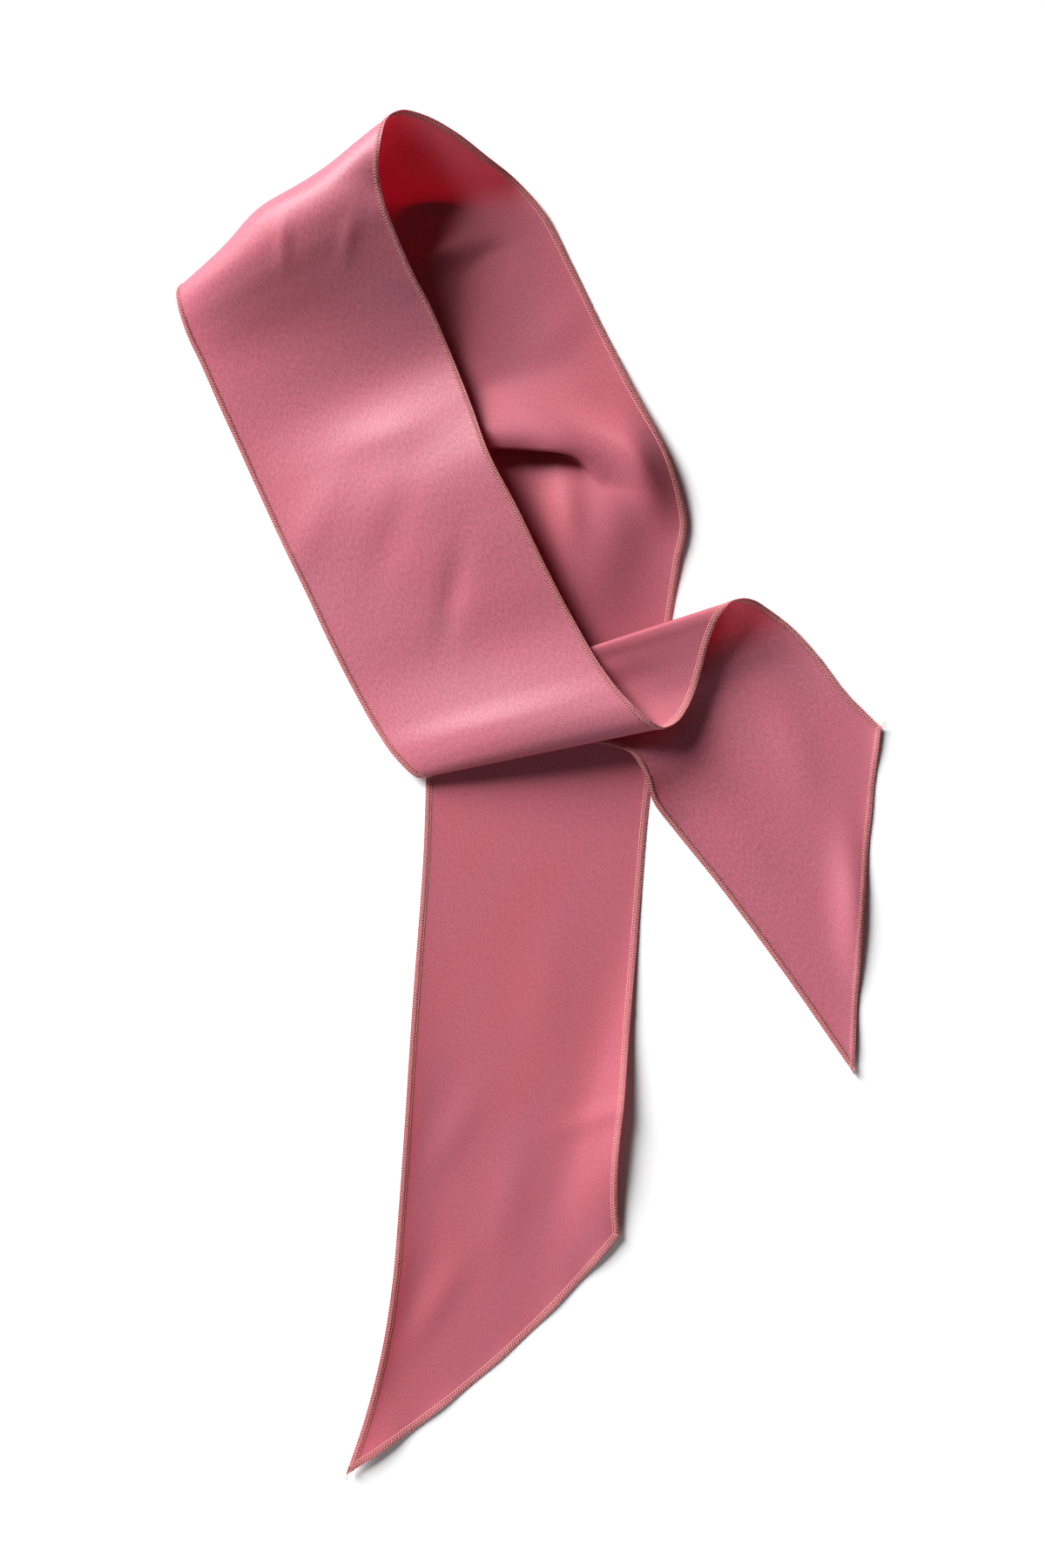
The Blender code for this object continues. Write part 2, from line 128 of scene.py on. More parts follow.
cloth = {
    "thickness": 0.34,        # mm
    "flatWidth": 0.100,       # m, the cut before it was dropped
    "flatLength": 1.30,       # m, along the edge that holds both points
    "flatArea": 0.1175,       # m2
    "restBlend": 1.5,         # mm, how softly it turns up from the table
    "tableGap": 0.02,         # mm, between its underside and the table
    "creaseFade": 1.5,        # rows over which a crease fades out past its own stretch
    "edgeLift": 0.15,         # mm, the thread holds the edges off the table
    "edgeLiftWidth": 4.0,     # mm
    "liftedBelow": 3.0,       # mm, only cloth that lies lower than this is lifted
    "endSlant": 0.65,         # a step along the cloth leads this much of it away from a slanted end
    "alongCells": 620,
    "acrossCells": 56,
    "measureRows": 3000,      # of the grid that is only used to space the rows evenly
    "measureColumns": 9,
    "sharpAngle": 60,         # degrees
}

# The tuck takes up the turn of the back stretch: there the cloth slides towards the top loop and folds over a
# crest. Its rows are counted from the lower tail's point, and places across it go from 0 at the short edge to
# 1 at the long one. The ripples are the waves that the thread pulls into the slanted ends.
folds = {
    "tuck": {
        "rows": (11.6, 13.0),
        "lean": 1.22,
        "heading": (-0.05, 1.0),
        "reach": 21.0,              # mm, how far the cloth slides
        "reachFrom": 0.36,          # across, nothing slides before this
        "reachOver": 0.22,          # across, until it slides in full
        "crestRows": (12.35, 14.8),
        "crestLean": 0.73,
        "height": 12.7,             # mm
        "heightOver": 0.55,         # across, from the short edge until it's this high
        "lowFrom": 0.7,             # across, from here to the long edge the crest gets lower
        "lowShare": 0.35,           # of the height, lost at the long edge
    },
    "ripple": {"height": 0.5, "length": 34.0, "phase": 0.8, "fade": 9.0, "end": 36.0},      # mm
}

# Creases: stretch, x, y of the middle (mm), heading (degrees), half length, half width, height.
# A height below zero is a trough.
creases = [
    ("topRoll", -44.0, 268.5, -4, 28.0, 9.0, -7.0),
    ("topRoll", -34.0, 292.0, -30, 24.0, 8.0, 3.0),
    ("backStretch", -38.0, 248.0, 20, 16.0, 6.5, 4.5),
    ("backStretch", -20.0, 240.0, 50, 11.0, 6.0, -2.0),
    ("topRoll", -110.0, 245.0, 84, 9.0, 3.0, 1.0),
    ("topRoll", -81.0, 246.0, 72, 9.0, 3.0, 0.9),
    ("frontStretch", -60.0, 163.0, 12, 20.0, 9.0, 1.2),
    ("frontStretch", -35.0, 91.0, 78, 22.0, 6.0, -1.2),
    ("frontStretch", -100.0, 120.0, 62, 30.0, 9.0, 0.8),
    ("frontStretch", -62.0, 118.0, 70, 26.0, 8.0, -0.8),
    ("bottomRoll", -8.0, 34.0, 12, 44.0, 8.0, 1.0),
    ("backStretch", 18.6, 152.0, -25, 9.0, 3.0, -1.2),
    ("backStretch", 52.0, 148.0, -68, 22.0, 9.5, 8.5),
    ("backStretch", 38.0, 162.0, -38, 20.0, 9.0, 4.5),
    ("backStretch", 38.0, 130.0, -80, 26.0, 18.0, 6.5),
    ("backStretch", 16.0, 131.0, -86, 22.0, 9.0, 4.5),
    ("backStretch", 26.0, 102.0, -64, 26.0, 17.0, 5.0),
    ("backStretch", -20.0, 60.0, -12, 20.0, 7.0, 1.8),
    ("backStretch", 14.0, 212.0, 50, 18.0, 9.0, 0.6),
    ("middleStretch", 20.0, 52.0, 18, 26.0, 7.0, 1.0),
    ("rightTail", 149.0, -56.0, -84, 30.0, 8.0, 4.5),
    ("rightTail", 122.0, 20.0, -70, 26.0, 10.0, 1.0),
    ("rightTail", 100.0, -24.0, -40, 22.0, 9.0, 0.8),
    ("lowerTail", 34.0, -148.0, 20, 20.0, 5.0, 0.8),
    ("lowerTail", -36.0, -158.0, 60, 22.0, 8.0, 0.7),
    ("lowerTail", -10.0, -188.0, 76, 26.0, 9.0, 0.7),
    ("lowerTail", -44.0, -236.0, 58, 24.0, 7.0, 0.8),
    ("lowerTail", 8.0, -92.0, 84, 30.0, 12.0, 0.5),
]

# The same, pushed sideways out of the top loop, where the cloth stands too steeply to be lifted.
bulges = [
    ("topRoll", -122.0, 262.0, 40, 17.0, 16.0, 3.6),
    ("topRoll", -92.0, 284.0, 40, 14.0, 14.0, -0.8),
]
bulgeHeading = (-0.64, 0.77)

rows = []
firstRow = {}
for name, table in stretches.items():
    firstRow[name] = len(rows)
    rows += table
rows = np.array(rows)


def smoothStep(value):
    value = np.clip(value, 0.0, 1.0)
    return value * value * (3 - 2 * value)


def controlPoints():
    # short edge, halfway point and long edge of every row
    short = rows[:, 0:3]
    far = rows[:, 3:6]
    middle = (short + far) / 2
    across = short[:, :2] - far[:, :2]
    left = np.stack((-across[:, 1], across[:, 0]), axis=1)
    left /= np.linalg.norm(left, axis=1)[:, None]
    middle[:, :2] += left * rows[:, 7:8]
    middle[:, 2] = rows[:, 6]
    return np.stack((short, middle, far), axis=1)


points = controlPoints()
rowSteps = np.linalg.norm(np.diff(points, axis=0), axis=2).mean(axis=1)
rowAlong = np.concatenate(([0.0], np.cumsum(rowSteps)))


def rowTangents():
    slopes = np.diff(points, axis=0) / rowSteps[:, None, None]
    tangents = np.empty_like(points)
    tangents[0], tangents[-1] = slopes[0], slopes[-1]
    before = rowSteps[:-1, None, None]
    after = rowSteps[1:, None, None]
    tangents[1:-1] = (slopes[:-1] * after + slopes[1:] * before) / (before + after)
    return tangents


tangents = rowTangents()


def rowsAt(numbers):
    # three points across the strip for each row number, which may lie between two rows
    low = np.minimum(numbers.astype(int), len(points) - 2)
    part = (numbers - low)[:, None, None]
    reach = rowSteps[low][:, None, None]
    start = (1 + 2 * part) * (1 - part) ** 2 * points[low]
    end = part * part * (3 - 2 * part) * points[low + 1]
    leave = part * (1 - part) ** 2 * tangents[low]
    arrive = part * part * (part - 1) * tangents[low + 1]
    return start + end + reach * (leave + arrive)


def foldWave(numbers, span, lean):
    # 0 to 1 and back to 0 over a span of rows; a lean below 1 moves the crest towards the first row
    first, last = span
    part = np.clip((numbers - first) / (last - first), 0.0, 1.0)
    return np.sin(math.pi * part ** lean)[:, None] ** 2


def creaseHeight(numbers, place, table):
    height = np.zeros(place.shape[:2])
    fade = cloth["creaseFade"]
    for stretch, x, y, heading, halfLength, halfWidth, rise in table:
        first = firstRow[stretch]
        last = first + len(stretches[stretch]) - 1
        inside = smoothStep(np.minimum(numbers - first + fade, last + fade - numbers) / fade)[:, None]
        awayX, awayY = place[:, :, 0] - x, place[:, :, 1] - y
        turn = math.radians(heading)
        along = (awayX * math.cos(turn) + awayY * math.sin(turn)) / halfLength
        aside = (awayY * math.cos(turn) - awayX * math.sin(turn)) / halfWidth
        height += rise * inside * np.exp(-along ** 2 - aside ** 2)
    return height


def addTuck(place, numbers, side):
    tuck = folds["tuck"]
    slide = tuck["reach"] * smoothStep((side - tuck["reachFrom"]) / tuck["reachOver"])
    slide = slide * foldWave(numbers, tuck["rows"], tuck["lean"])
    place[:, :, 0] += tuck["heading"][0] * slide
    place[:, :, 1] += tuck["heading"][1] * slide
    crest = foldWave(numbers, tuck["crestRows"], tuck["crestLean"])
    lower = tuck["lowShare"] * smoothStep((side - tuck["lowFrom"]) / (1 - tuck["lowFrom"]))
    crest = crest * (1 - lower)
    place[:, :, 2] += tuck["height"] * smoothStep(side / tuck["heightOver"]) * crest


def clothSurface(numbers, across):
    # the middle of the cloth in millimetres, at row numbers along it
    # and at places across it, from -1 at the long edge to 1 at the short one
    three = rowsAt(numbers)
    short, middle, far = (three[:, i, None, :] for i in range(3))
    w = across[None, :, None]
    place = middle + (short - far) / 2 * w + ((short + far) / 2 - middle) * w * w
    addTuck(place, numbers, (1 - across)[None, :] / 2)
    place[:, :, 2] += rippleHeight(numbers, across)
    place[:, :, 2] = aboveTable(place[:, :, 2]) + creaseHeight(numbers, place, creases)
    place[:, :, :2] += creaseHeight(numbers, place, bulges)[:, :, None] * np.array(bulgeHeading)
    place[:, :, 2] = np.maximum(place[:, :, 2], 0.0) + cloth["thickness"] / 2 + cloth["tableGap"]
    return place


def rippleHeight(numbers, across):
    ripple = folds["ripple"]
    low = np.minimum(numbers.astype(int), len(rowSteps) - 1)
    here = rowAlong[low] + (numbers - low) * rowSteps[low]
    height = np.zeros((len(numbers), len(across)))
    for row, away in ((0, here), (-1, rowAlong[-1] - here)):
        endLength = np.hypot(*(points[row, 0] - points[row, 2])[:2])
        wave = np.sin(math.pi * across * endLength / ripple["length"] + ripple["phase"])
        fade = np.exp(-away / ripple["fade"])
        fade[away > ripple["end"]] = 0.0
        height += ripple["height"] * (1 + wave)[None, :] * fade[:, None]
    return height


def aboveTable(height):
    blend = cloth["restBlend"]
    soft = (np.maximum(height + blend, 0.0)) ** 2 / (4 * blend)
    return np.where(height > blend, height, soft)


def evenNumbers(count):
    # row numbers that lie evenly along the cloth, folds included
    fine = np.linspace(0, len(rows) - 1, cloth["measureRows"])
    grid = clothSurface(fine, np.linspace(-1, 1, cloth["measureColumns"]))
    steps = np.linalg.norm(np.diff(grid, axis=0), axis=2).max(axis=1)
    along = np.concatenate(([0.0], np.cumsum(steps)))
    return np.interp(np.linspace(0, along[-1], count + 1), along, fine)


def gridNormals(grid):
    along = np.gradient(grid, axis=0)
    across = np.gradient(grid, axis=1)
    normal = np.cross(across, along)
    return normal / np.linalg.norm(normal, axis=2)[:, :, None]


def distancesOnCloth(grid):
    # millimetres along the cloth, from each point to the nearest edge, to the first end and to the long edge
    across = np.linalg.norm(np.diff(grid, axis=1), axis=2)
    fromLong = np.concatenate((np.zeros((len(grid), 1)), np.cumsum(across, axis=1)), axis=1)
    fromShort = fromLong[:, -1:] - fromLong
    along = np.linalg.norm(np.diff(grid, axis=0), axis=2)
    fromStart = np.concatenate((np.zeros((1, grid.shape[1])), np.cumsum(along, axis=0)), axis=0)
    fromEnd = fromStart[-1:] - fromStart
    toEnds = np.minimum(fromStart, fromEnd) * cloth["endSlant"]
    return np.minimum(np.minimum(fromLong, fromShort), toEnds), fromStart, fromLong


def buildGrid():
    # even points on the middle of the cloth, their places in the flat cut, and how far they were moved
    numbers = evenNumbers(cloth["alongCells"])
    grid = clothSurface(numbers, np.linspace(-1, 1, cloth["acrossCells"] + 1))
    edge, along, over = distancesOnCloth(grid)
    lying = grid[:, :, 2] < cloth["liftedBelow"]
    lift = cloth["edgeLift"] * np.exp(-(edge / cloth["edgeLiftWidth"]) ** 2)
    grid[:, :, 2] += np.where(lying, lift, 0.0)
    middle = (grid.reshape(-1, 3).min(axis=0) + grid.reshape(-1, 3).max(axis=0)) / 2
    grid[:, :, :2] -= middle[:2]
    return grid, along, over, middle


def newObject(name, mesh):
    piece = bpy.data.objects.new(name, mesh)
    bpy.context.scene.collection.objects.link(piece)
    return piece


def wallFaces(rowCount, columnCount):
    # the back, the front and the rim between them; the front's vertices are numbered after the back's
    back = np.arange(rowCount * columnCount).reshape(rowCount, columnCount)
    front = back + rowCount * columnCount
    backFaces = np.stack((back[:-1, :-1], back[:-1, 1:], back[1:, 1:], back[1:, :-1]), axis=-1)
    frontFaces = np.stack((front[:-1, :-1], front[1:, :-1], front[1:, 1:], front[:-1, 1:]), axis=-1)
    rim = []
    for i in range(rowCount - 1):
        rim.append((back[i, 0], back[i + 1, 0], front[i + 1, 0], front[i, 0]))
        rim.append((back[i, -1], front[i, -1], front[i + 1, -1], back[i + 1, -1]))
    for j in range(columnCount - 1):
        rim.append((back[0, j], front[0, j], front[0, j + 1], back[0, j + 1]))
        rim.append((back[-1, j], back[-1, j + 1], front[-1, j + 1], front[-1, j]))
    return backFaces.reshape(-1, 4), frontFaces.reshape(-1, 4), np.array(rim)


def addFlatCut(mesh, along, over):
    # a UV map in metres: the cloth as it was cut
    flat = np.stack((along.reshape(-1), over.reshape(-1)), axis=1) * mm
    flat = np.concatenate((flat, flat))
    uv = mesh.uv_layers.new(name="flatCut")
    corner = np.empty(len(mesh.loops), dtype=int)
    mesh.loops.foreach_get("vertex_index", corner)
    uv.data.foreach_set("uv", flat[corner].reshape(-1))


def clothMesh(grid, along, over):
    # the back is the matte side, and the rim goes with the satin
    normal = gridNormals(grid)
    half = cloth["thickness"] / 2
    backPoints = grid + normal * half
    frontPoints = grid - normal * half
    verts = np.concatenate((backPoints.reshape(-1, 3), frontPoints.reshape(-1, 3))) * mm
    back, front, rim = wallFaces(*grid.shape[:2])
    faces = np.concatenate((back, front, rim))
    mesh = bpy.data.meshes.new("satinStrip")
    mesh.from_pydata(verts.tolist(), [], faces.tolist())
    addFlatCut(mesh, along, over)
    sides = np.zeros(len(faces), dtype=int)
    sides[len(back):] = 1
    return mesh, sides


thread = {
    "pitch": 1.3,             # mm from stitch to stitch
    "band": 2.7,              # mm, from the needle line to the raw edge
    "radius": 0.18,           # mm
    "sides": 5,
    "seed": 7,
    "uneven": 0.14,           # mm that a stitch may lie off its place across the band
    "unevenHeight": 0.03,     # mm
    "needleFrom": 0.6,        # mm from the corner to the first needle stitch
    "needleOver": 0.16,       # mm over the cloth, between two holes
    "needleUnder": -0.02,     # mm, at a hole
    "tableGap": 0.01,         # mm
}

# One stitch of the looper thread: part of the pitch, distance from the edge, height over the cloth (mm).
looperTurns = [(0.0, 2.6, 0.1), (0.2, 1.4, 0.26), (0.4, -0.12, 0.0), (0.7, 1.4, 0.34)]

looseEnd = {
    "points": 9,
    "fromCorner": 0.4,        # mm
    "inset": 0.4,             # mm, where it leaves the band
    "length": 1.8,            # mm
    "height": 0.2,            # mm over the middle of the cloth
    "curl": (0.5, 0.4),       # mm in x and y
    "curlTurn": (7, 5),       # radians over its length
    "tableGap": 0.02,         # mm
}

# Piece, edge of the cloth, and its loose ends: whether at the end of that edge, and sway in x and y (mm).
threadPieces = [
    ("threadLongEdge", "long", []),
    ("threadShortEdge", "short", [(True, (1.2, 1.0))]),
    ("threadLowerEnd", "lowEnd", [(False, (-0.6, -1.2))]),
    ("threadRightEnd", "highEnd", [(True, (1.0, 1.4)), (False, (-1.0, -0.8))]),
]


def surfaceAt(row, column):
    # the point of the cloth at a place between the grid's rows and columns, kept just inside the last of them
    row = np.clip(row, 0, grid.shape[0] - 1.001)
    column = np.clip(column, 0, grid.shape[1] - 1.001)
    i, j = row.astype(int), column.astype(int)
    u, v = (row - i)[:, None], (column - j)[:, None]
    near = grid[i, j] * (1 - u) + grid[i + 1, j] * u
    far = grid[i, j + 1] * (1 - u) + grid[i + 1, j + 1] * u
    return near * (1 - v) + far * v


def unit(vectors):
    return vectors / np.linalg.norm(vectors, axis=1)[:, None]


def edgeLine(edge):
    # marks along one edge, and the grid's row and column at each
    rowEnd, columnEnd = grid.shape[0] - 1, grid.shape[1] - 1
    marks = np.arange((rowEnd if edge in ("long", "short") else columnEnd) + 1.0)
    line = {"long": (marks, 0 * marks), "short": (marks, 0 * marks + columnEnd),
            "lowEnd": (0 * marks, marks), "highEnd": (0 * marks + rowEnd, marks)}[edge]
    return marks, line


def gridSteps(row, column):
    # how far one row and one column of the grid lead over the cloth
    row = np.clip(row, 1, grid.shape[0] - 2)
    column = np.clip(column, 1, grid.shape[1] - 2)
    reach = 0.9               # rows or columns to each side
    byRow = (surfaceAt(row + reach, column) - surfaceAt(row - reach, column)) / (2 * reach)
    byColumn = (surfaceAt(row, column + reach) - surfaceAt(row, column - reach)) / (2 * reach)
    return byRow, byColumn


def gridMove(wanted, byRow, byColumn):
    # the rows and columns that lead as far over the cloth as wanted, which is in millimetres
    rr = (byRow * byRow).sum(axis=1)
    cc = (byColumn * byColumn).sum(axis=1)
    rc = (byRow * byColumn).sum(axis=1)
    wr = (wanted * byRow).sum(axis=1)
    wc = (wanted * byColumn).sum(axis=1)
    scale = rr * cc - rc * rc
    return (wr * cc - wc * rc) / scale, (wc * rr - wr * rc) / scale


def edgePoints(edge, steps, inset, height):
    # points near one edge of the cloth: steps along it, inset from it and height over its middle, all mm
    marks, line = edgeLine(edge)
    places = surfaceAt(*line)
    length = np.concatenate(([0.0], np.cumsum(np.linalg.norm(np.diff(places, axis=0), axis=1))))
    mark = np.interp(steps, length, marks)
    row, column = (np.interp(mark, marks, values) for values in line)
    byRow, byColumn = gridSteps(row, column)
    normal = unit(np.cross(byColumn, byRow))
    tangent = unit(byRow if edge in ("long", "short") else byColumn)
    inward = unit(np.cross(normal, tangent))
    toMiddle = {"long": byColumn, "short": -byColumn, "lowEnd": byRow, "highEnd": -byRow}[edge]
    inward *= np.sign((inward * toMiddle).sum(axis=1))[:, None]
    wanted = inward * inset[:, None]
    moveRow, moveColumn = gridMove(wanted, byRow, byColumn)
    onCloth = surfaceAt(row + moveRow, column + moveColumn)
    pastEdge = surfaceAt(row, column) + wanted
    on = np.where((inset < 0)[:, None], pastEdge, onCloth)
    return on + normal * height[:, None], normal


def edgeLength(edge):
    line = {"long": grid[:, 0], "short": grid[:, -1], "lowEnd": grid[0], "highEnd": grid[-1]}[edge]
    return np.linalg.norm(np.diff(line, axis=0), axis=1).sum()


def tubeMesh(path, reference, radius, sides):
    # verts and faces of a tube along path, closed at both ends
    along = unit(np.gradient(path, axis=0))
    aside = unit(np.cross(along, reference))
    upward = np.cross(aside, along)
    turns = np.arange(sides) * 2 * math.pi / sides
    ring = aside[:, None, :] * np.cos(turns)[None, :, None]
    ring = ring + upward[:, None, :] * np.sin(turns)[None, :, None]
    verts = (path[:, None, :] + ring * radius).reshape(-1, 3)
    starts = np.arange(len(path) - 1)[:, None] * sides
    here, after = np.arange(sides), (np.arange(sides) + 1) % sides
    faces = np.stack((starts + here, starts + after, starts + sides + after, starts + sides + here), axis=-1)
    caps = [tuple(range(sides))[::-1], tuple(range(len(verts) - sides, len(verts)))]
    return verts, faces.reshape(-1, 4).tolist(), caps


def looperPath(edge, face, chance):
    # over and back across the band; face is 1 on the matte side and -1 on the satin
    count = int(edgeLength(edge) / thread["pitch"])
    pitch = edgeLength(edge) / count
    turns = np.array(looperTurns)
    steps = ((np.arange(count)[:, None] + turns[None, :, 0]) * pitch).reshape(-1)
    inset = np.tile(turns[:, 1], count) + chance.uniform(-thread["uneven"], thread["uneven"], len(steps))
    height = np.tile(turns[:, 2], count)
    height = height + chance.uniform(-thread["unevenHeight"], thread["unevenHeight"], len(steps))
    height += np.where(inset > 0, cloth["thickness"] / 2, 0.0)
    return edgePoints(edge, steps, inset, face * height)


def needlePath(edge, face):
    # a straight line of stitches along the inner side of the band
    count = int(edgeLength(edge) / thread["pitch"]) * 2
    steps = np.linspace(thread["needleFrom"], edgeLength(edge) - thread["needleFrom"], count)
    dip = np.where(np.arange(count) % 2 == 0, thread["needleOver"], thread["needleUnder"])
    height = face * (cloth["thickness"] / 2 + dip)
    return edgePoints(edge, steps, np.full(count, thread["band"]), height)


def loosePath(edge, atEnd, sway):
    # a cut end of thread left hanging at a corner
    corner = looseEnd["fromCorner"]
    start = edgeLength(edge) - corner if atEnd else corner
    part = np.linspace(0, 1, looseEnd["points"])
    inset = looseEnd["inset"] - looseEnd["length"] * part
    path, normal = edgePoints(edge, start + 0 * part, inset, looseEnd["height"] + 0 * part)
    path[:, 0] += sway[0] * part ** 2 + looseEnd["curl"][0] * np.sin(part * looseEnd["curlTurn"][0])
    path[:, 1] += sway[1] * part ** 2 + looseEnd["curl"][1] * np.cos(part * looseEnd["curlTurn"][1])
    path[:, 2] = np.maximum(path[:, 2], thread["radius"] + looseEnd["tableGap"])
    return path, normal


def threadPiece(name, edge, loose):
    chance = np.random.default_rng(thread["seed"] + len(name))
    runs = [looperPath(edge, 1, chance), looperPath(edge, -1, chance), needlePath(edge, 1)]
    runs += [loosePath(edge, atEnd, sway) for atEnd, sway in loose]
    verts, faces = [], []
    total = 0
    for path, reference in runs:
        path[:, 2] = np.maximum(path[:, 2], thread["radius"] + thread["tableGap"])
        tube, walls, caps = tubeMesh(path, reference, thread["radius"], thread["sides"])
        verts.append(tube)
        faces += [tuple(i + total for i in face) for face in walls + caps]
        total += len(tube)
    mesh = bpy.data.meshes.new(name)
    mesh.from_pydata((np.concatenate(verts) * mm).tolist(), [], faces)
    mesh.shade_smooth()
    return newObject(name, mesh)


grainNoise = {
    "detail": 1.5,
    "span": (0.3, 0.7),             # of the noise, from the darkest grain to the lightest
    "patchDetail": 2.0,
    "patchSpan": (0.35, 0.65),      # of the noise, from the one colour to the other
}


def addNode(nodes, kind, operation=None, settings=None):
    node = nodes.new(kind)
    if operation:
        node.operation = operation
    for socket, value in (settings or {}).items():
        node.inputs[socket].default_value = value
    return node


def grainSockets(group):
    face = group.interface
    face.new_socket("Flat Cut", in_out="INPUT", socket_type="NodeSocketVector")
    for name in ("Colour", "Second Colour"):
        face.new_socket(name, in_out="INPUT", socket_type="NodeSocketColor")
    for name in ("Grains Per Metre", "Grain Length", "Grain Tone", "Patches Per Metre"):
        face.new_socket(name, in_out="INPUT", socket_type="NodeSocketFloat")
    face.new_socket("Colour", in_out="OUTPUT", socket_type="NodeSocketColor")
    face.new_socket("Height", in_out="OUTPUT", socket_type="NodeSocketFloat")


def grainNodes(nodes, links, given):
    # fine noise on the flat cut; a grain is longer along the strip than across it
    stretch = nodes.new("ShaderNodeCombineXYZ")
    divide = addNode(nodes, "ShaderNodeMath", "DIVIDE")
    links.new(given["Grains Per Metre"], divide.inputs[0])
    links.new(given["Grain Length"], divide.inputs[1])
    links.new(divide.outputs[0], stretch.inputs["X"])
    links.new(given["Grains Per Metre"], stretch.inputs["Y"])
    scaled = addNode(nodes, "ShaderNodeVectorMath", "MULTIPLY")
    links.new(given["Flat Cut"], scaled.inputs[0])
    links.new(stretch.outputs[0], scaled.inputs[1])
    grain = addNode(nodes, "ShaderNodeTexNoise", settings={"Scale": 1.0, "Detail": grainNoise["detail"]})
    links.new(scaled.outputs[0], grain.inputs["Vector"])
    return grain


def patchNodes(nodes, links, given):
    # slow changes from the one colour to the other
    low, high = grainNoise["patchSpan"]
    patches = addNode(nodes, "ShaderNodeTexNoise", settings={"Detail": grainNoise["patchDetail"]})
    links.new(given["Flat Cut"], patches.inputs["Vector"])
    links.new(given["Patches Per Metre"], patches.inputs["Scale"])
    spread = addNode(nodes, "ShaderNodeMapRange", settings={"From Min": low, "From Max": high})
    links.new(patches.outputs["Fac"], spread.inputs["Value"])
    tone = nodes.new("ShaderNodeMix")
    tone.data_type = "RGBA"
    links.new(spread.outputs["Result"], tone.inputs["Factor"])
    links.new(given["Colour"], tone.inputs["A"])
    links.new(given["Second Colour"], tone.inputs["B"])
    return tone


def clothGrainGroup():
    # fine grain and slow changes of tone, both fixed to the flat cut
    group = bpy.data.node_groups.new("clothGrain", "ShaderNodeTree")
    grainSockets(group)
    nodes, links = group.nodes, group.links
    given = nodes.new("NodeGroupInput").outputs
    result = nodes.new("NodeGroupOutput").inputs
    grain = grainNodes(nodes, links, given)
    links.new(grain.outputs["Fac"], result["Height"])
    tone = patchNodes(nodes, links, given)

    # each grain is a little lighter or darker than the colour there
    low, high = grainNoise["span"]
    darkToLight = {"From Min": low, "From Max": high, "To Min": -1.0}
    lighter = addNode(nodes, "ShaderNodeMapRange", settings=darkToLight)
    links.new(grain.outputs["Fac"], lighter.inputs["Value"])
    share = addNode(nodes, "ShaderNodeMath", "MULTIPLY_ADD", {2: 1.0})
    links.new(lighter.outputs["Result"], share.inputs[0])
    links.new(given["Grain Tone"], share.inputs[1])
    shaded = addNode(nodes, "ShaderNodeVectorMath", "SCALE")
    links.new(tone.outputs["Result"], shaded.inputs[0])
    links.new(share.outputs[0], shaded.inputs["Scale"])
    links.new(shaded.outputs[0], result["Colour"])
    return group


clothGrain = clothGrainGroup()

satin = {
    "colour": (0.60, 0.178, 0.238),
    "secondColour": (0.56, 0.188, 0.253),
    "roughness": 0.46,
    "specular": 0.48,
    "through": (0.86, 0.004, 0.14),     # the light that comes through the cloth
    "throughShare": 0.36,
    "grainsPerMetre": 1150.0,
    "grainLength": 2.4,                 # times its width
    "grainTone": 0.17,
    "grainHeight": 0.09,                # mm
    "patchesPerMetre": 14.0,
}
crepe = {
    **satin,
    "colour": (0.575, 0.15, 0.20),
    "secondColour": (0.54, 0.165, 0.22),
    "roughness": 0.6,
    "specular": 0.3,
    "grainLength": 1.3,
    "grainTone": 0.15,
    "patchesPerMetre": 11.0,
}
overlock = {"colour": (0.67, 0.27, 0.25), "roughness": 0.7, "sheen": 0.3}
paper = {"colour": (0.93, 0.93, 0.93), "roughness": 0.9, "sheen": 0.0}


def clothMaterial(name, values):
    material = bpy.data.materials.new(name)
    material.use_nodes = True
    nodes, links = material.node_tree.nodes, material.node_tree.links
    shader = nodes["Principled BSDF"]
    shader.inputs["Roughness"].default_value = values["roughness"]
    shader.inputs["Specular IOR Level"].default_value = values["specular"]
    flat = nodes.new("ShaderNodeUVMap")
    flat.uv_map = "flatCut"
    grain = nodes.new("ShaderNodeGroup")
    grain.node_tree = clothGrain
    grain.inputs["Colour"].default_value = (*values["colour"], 1)
    grain.inputs["Second Colour"].default_value = (*values["secondColour"], 1)
    grain.inputs["Grains Per Metre"].default_value = values["grainsPerMetre"]
    grain.inputs["Grain Length"].default_value = values["grainLength"]
    grain.inputs["Grain Tone"].default_value = values["grainTone"]
    grain.inputs["Patches Per Metre"].default_value = values["patchesPerMetre"]
    links.new(flat.outputs["UV"], grain.inputs["Flat Cut"])
    links.new(grain.outputs["Colour"], shader.inputs["Base Color"])
    bump = addNode(nodes, "ShaderNodeBump", settings={"Distance": values["grainHeight"] * mm})
    links.new(grain.outputs["Height"], bump.inputs["Height"])
    links.new(bump.outputs["Normal"], shader.inputs["Normal"])
    through = addNode(nodes, "ShaderNodeBsdfTranslucent", settings={"Color": (*values["through"], 1)})
    mix = addNode(nodes, "ShaderNodeMixShader", settings={"Fac": values["throughShare"]})
    links.new(shader.outputs[0], mix.inputs[1])
    links.new(through.outputs[0], mix.inputs[2])
    links.new(mix.outputs[0], nodes["Material Output"].inputs["Surface"])
    return material


def plainMaterial(name, values):
    material = bpy.data.materials.new(name)
    material.use_nodes = True
    shader = material.node_tree.nodes["Principled BSDF"]
    shader.inputs["Base Color"].default_value = (*values["colour"], 1)
    shader.inputs["Roughness"].default_value = values["roughness"]
    shader.inputs["Sheen Weight"].default_value = values["sheen"]
    return material


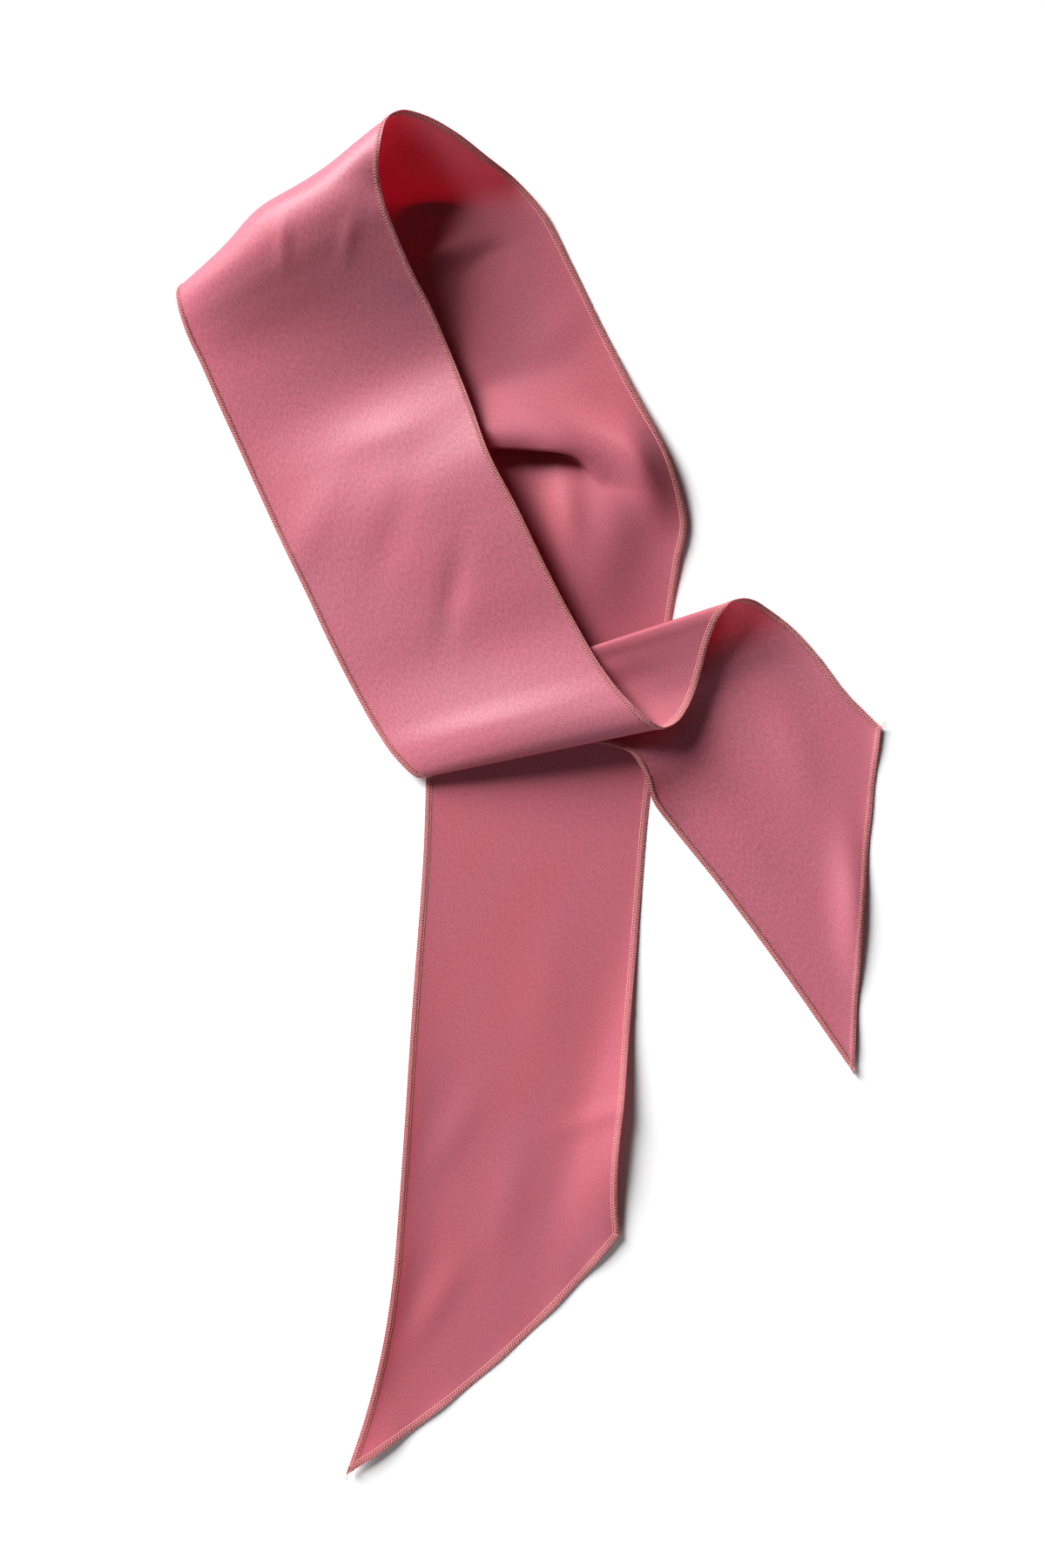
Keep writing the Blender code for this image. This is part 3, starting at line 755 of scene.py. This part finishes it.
print("cloth")
grid, along, over, middle = buildGrid()
mesh, sides = clothMesh(grid, along, over)
strip = newObject("satinStrip", mesh)
mesh.materials.append(clothMaterial("crepeSide", crepe))
mesh.materials.append(clothMaterial("satinSide", satin))
mesh.polygons.foreach_set("material_index", sides)
mesh.shade_smooth()
mesh.set_sharp_from_angle(angle=math.radians(cloth["sharpAngle"]))
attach(strip, "root")
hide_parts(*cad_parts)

print("overlock thread")
threadColour = plainMaterial("overlockThread", overlock)
for name, edge, loose in threadPieces:
    piece = threadPiece(name, edge, loose)
    piece.data.materials.append(threadColour)
    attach(piece, "root")

print("floor, lights and camera")
side = 2.5                    # m, from the middle of the table top to each side
floorMesh = bpy.data.meshes.new("tableTop")
floorCorners = [(-side, -side, 0), (side, -side, 0), (side, side, 0), (-side, side, 0)]
floorMesh.from_pydata(floorCorners, [], [(0, 1, 2, 3)])
floor = newObject("tableTop", floorMesh)
floorMesh.materials.append(plainMaterial("palePaper", paper))

# Where each light stands, seen from the scarf (degrees and metres), how large it is (m) and its power.
lights = {
    "window": {"azimuth": 136, "elevation": 28.5, "distance": 8.0,
               "width": 3.2, "height": 5.0, "watts": 1600},
    "paleWall": {"azimuth": 236, "elevation": 20.0, "distance": 6.0,
                 "width": 3.0, "height": 2.4, "watts": 115},
}
sky = {"colour": (1, 1, 1), "strength": 0.05}
view = {
    "height": 1.1,            # m, the camera over the table
    "frameHeight": 0.72,      # m of the table in the picture
    "centre": (-3.4, 3.4),    # mm, the picture's middle
    "sensor": 36.0,           # mm
}


def areaLight(name, values):
    light = bpy.data.lights.new(name, "AREA")
    light.shape = "RECTANGLE"
    light.size = values["width"]
    light.size_y = values["height"]
    light.energy = values["watts"]
    lamp = newObject(name, light)
    azimuth, elevation = math.radians(values["azimuth"]), math.radians(values["elevation"])
    lamp.location = (values["distance"] * math.cos(elevation) * math.cos(azimuth),
                     values["distance"] * math.cos(elevation) * math.sin(azimuth),
                     values["distance"] * math.sin(elevation))
    lamp.rotation_euler = (math.pi / 2 - elevation, 0, azimuth + math.pi / 2)


for name, values in lights.items():
    areaLight(name, values)
world = bpy.data.worlds.new("softRoom")
world.use_nodes = True
background = world.node_tree.nodes["Background"]
background.inputs["Color"].default_value = (*sky["colour"], 1)
background.inputs["Strength"].default_value = sky["strength"]
bpy.context.scene.world = world
bpy.context.scene.view_settings.view_transform = "Standard"

camera = bpy.data.cameras.new("overhead")
camera.sensor_fit = "VERTICAL"
camera.sensor_height = view["sensor"]
camera.lens = view["sensor"] * view["height"] / view["frameHeight"]
overhead = newObject("overhead", camera)
centreX, centreY = view["centre"][0] - middle[0], view["centre"][1] - middle[1]
overhead.location = (centreX * mm, centreY * mm, view["height"])
bpy.context.scene.camera = overhead
